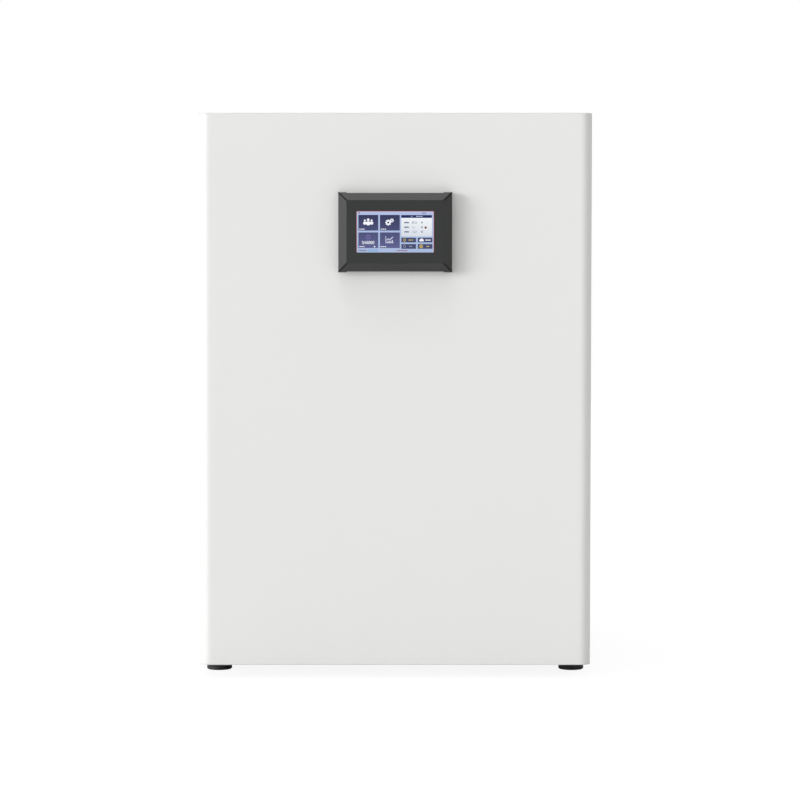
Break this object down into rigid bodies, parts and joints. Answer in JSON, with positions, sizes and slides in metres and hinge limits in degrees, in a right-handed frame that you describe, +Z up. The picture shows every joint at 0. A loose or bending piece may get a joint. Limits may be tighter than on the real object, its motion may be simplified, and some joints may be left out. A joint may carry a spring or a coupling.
{
  "type": "co2 incubator",
  "caption": "Bench CO2 incubator: white insulated cabinet on feet, full-height hinged door with a touch display, glass inner door, stainless chamber with sliding shelves.",
  "frame": {"origin": "centre of the bounding box's bottom, on the surface the feet stand on", "axes": "+X to the right seen from the front, +Y to the back, +Z up; the door faces -Y"},
  "size_m": [0.56, 0.643, 0.804],
  "materials": {
    "white_enamel": "satin powder coat, very fine texture",
    "panel_plastic": "moulded, fine matt",
    "frame_paint": "satin powder coat",
    "stainless": "fine brushed",
    "galvanised": "plain sheet",
    "zinc_steel": "zinc plated",
    "black_rubber": "moulded matt",
    "gasket_rubber": "soft extruded",
    "silicone": "translucent silicone",
    "heater_mat": "silicone mat with wire pattern",
    "foam": "rigid foam",
    "door_glass": "clear tempered glass",
    "bezel_plastic": "dark grey moulding, fine grain",
    "screen_glass": "touch screen, lit",
    "screen_module": "pressed can",
    "circuit_board": "solder mask",
    "grip_plastic": "moulded matt",
    "bush_plastic": "plain acetal",
    "motor_case": "painted",
    "brass": "machined",
    "black_plastic": "moulded",
    "filter_plastic": "moulded, clear white",
    "tube_silicone": "soft tube"
  },
  "bodies": {
    "cabinet": {"cabinet_wrap": "white_enamel", "base_pan": "galvanised", "rear_panel": "white_enamel", "rear_panel_screws": "zinc_steel", "front_frame": "frame_paint", "foot_front_left": "black_rubber", "foot_rear_left": "black_rubber", "foot_front_right": "black_rubber", "foot_rear_right": "black_rubber", "foot_screws": "zinc_steel", "chamber_liner": "stainless", "jacket_heaters": "heater_mat", "cabinet_insulation": "foam", "equipment_tray": "galvanised", "rack_uprights": "stainless", "shelf_runners": "stainless", "fan_motor_plate": "galvanised", "fan_motor": "motor_case", "fan_cover": "stainless", "gas_inlet": "brass", "gas_valve": "brass", "gas_filter": "filter_plastic", "gas_tubes": "tube_silicone", "gas_nozzle": "stainless", "co2_sensor": "screen_module", "temperature_probe": "stainless", "access_sleeve": "black_plastic", "control_board": "circuit_board", "power_supply": "galvanised", "power_inlet": "black_plastic", "door_hinge_upper": "zinc_steel", "door_hinge_lower": "zinc_steel", "inner_hinge_blocks": "stainless", "inner_latch_post": "stainless"},
    "outer_door": {"door_skin": "white_enamel", "door_panel": "panel_plastic", "door_insulation": "foam", "door_heater": "heater_mat", "door_gasket": "gasket_rubber", "door_grip": "grip_plastic", "door_hinge_blocks": "zinc_steel", "door_hinge_bushes": "bush_plastic", "display_bezel": "bezel_plastic", "display_glass": "screen_glass", "display_module": "screen_module", "display_board": "circuit_board"},
    "inner_door": {"inner_door_glass": "door_glass", "inner_door_gasket": "silicone", "inner_door_leaves": "stainless", "inner_door_knob": "grip_plastic"},
    "latch": {"inner_latch": "stainless"},
    "lower_shelf": {"shelf_lower": "stainless"},
    "middle_shelf": {"shelf_middle": "stainless"},
    "upper_shelf": {"shelf_upper": "stainless"},
    "pan": {"water_pan": "stainless"},
    "fan": {"fan_shaft": "zinc_steel", "fan_wheel": "stainless"},
    "rocker": {"mains_rocker": "black_plastic"},
    "fuse_holder": {"fuse_drawer": "black_plastic"},
    "plug": {"access_plug": "silicone"}
  },
  "joints": [
    {"name": "outer_door_hinge", "type": "hinge", "parent": "cabinet", "child": "outer_door", "pos_m": [0.272, -0.2575, 0.411], "axis": [0, 0, 1], "range_deg": [0, 135]},
    {"name": "inner_door_hinge", "type": "hinge", "parent": "cabinet", "child": "inner_door", "pos_m": [0.226, -0.2473, 0.344], "axis": [0, 0, 1], "range_deg": [0, 122]},
    {"name": "inner_latch_turn", "type": "hinge", "parent": "cabinet", "child": "latch", "pos_m": [-0.224, -0.2463, 0.344], "axis": [0, 1, 0], "range_deg": [0, 90]},
    {"name": "lower_shelf_slide", "type": "slide", "parent": "cabinet", "child": "lower_shelf", "axis": [0, -1, 0], "range_m": [0, 0.13]},
    {"name": "middle_shelf_slide", "type": "slide", "parent": "cabinet", "child": "middle_shelf", "axis": [0, -1, 0], "range_m": [0, 0.13]},
    {"name": "upper_shelf_slide", "type": "slide", "parent": "cabinet", "child": "upper_shelf", "axis": [0, -1, 0], "range_m": [0, 0.13]},
    {"name": "water_pan_slide", "type": "slide", "parent": "cabinet", "child": "pan", "axis": [0, -1, 0], "range_m": [0, 0.13]},
    {"name": "fan_spin", "type": "hinge", "parent": "cabinet", "child": "fan", "pos_m": [0, -0.0335, 0.584], "axis": [0, 0, 1], "continuous": true},
    {"name": "mains_rocker_tilt", "type": "hinge", "parent": "cabinet", "child": "rocker", "pos_m": [-0.19, 0.301, 0.732], "axis": [1, 0, 0], "range_deg": [0, 20]},
    {"name": "fuse_drawer_slide", "type": "slide", "parent": "cabinet", "child": "fuse_holder", "axis": [0, 1, 0], "range_m": [0, 0.018]},
    {"name": "access_plug_slide", "type": "slide", "parent": "cabinet", "child": "plug", "axis": [0, 1, 0], "range_m": [0, 0.06]}
  ],
  "couplings": [
    {"joint": "inner_door_hinge", "follows": "outer_door_hinge", "ratio": 0.9},
    {"joint": "lower_shelf_slide", "follows": "outer_door_hinge", "m_per_rad": 0.055},
    {"joint": "middle_shelf_slide", "follows": "outer_door_hinge", "m_per_rad": 0.055},
    {"joint": "upper_shelf_slide", "follows": "outer_door_hinge", "m_per_rad": 0.055},
    {"joint": "water_pan_slide", "follows": "outer_door_hinge", "m_per_rad": 0.055}
  ]
}
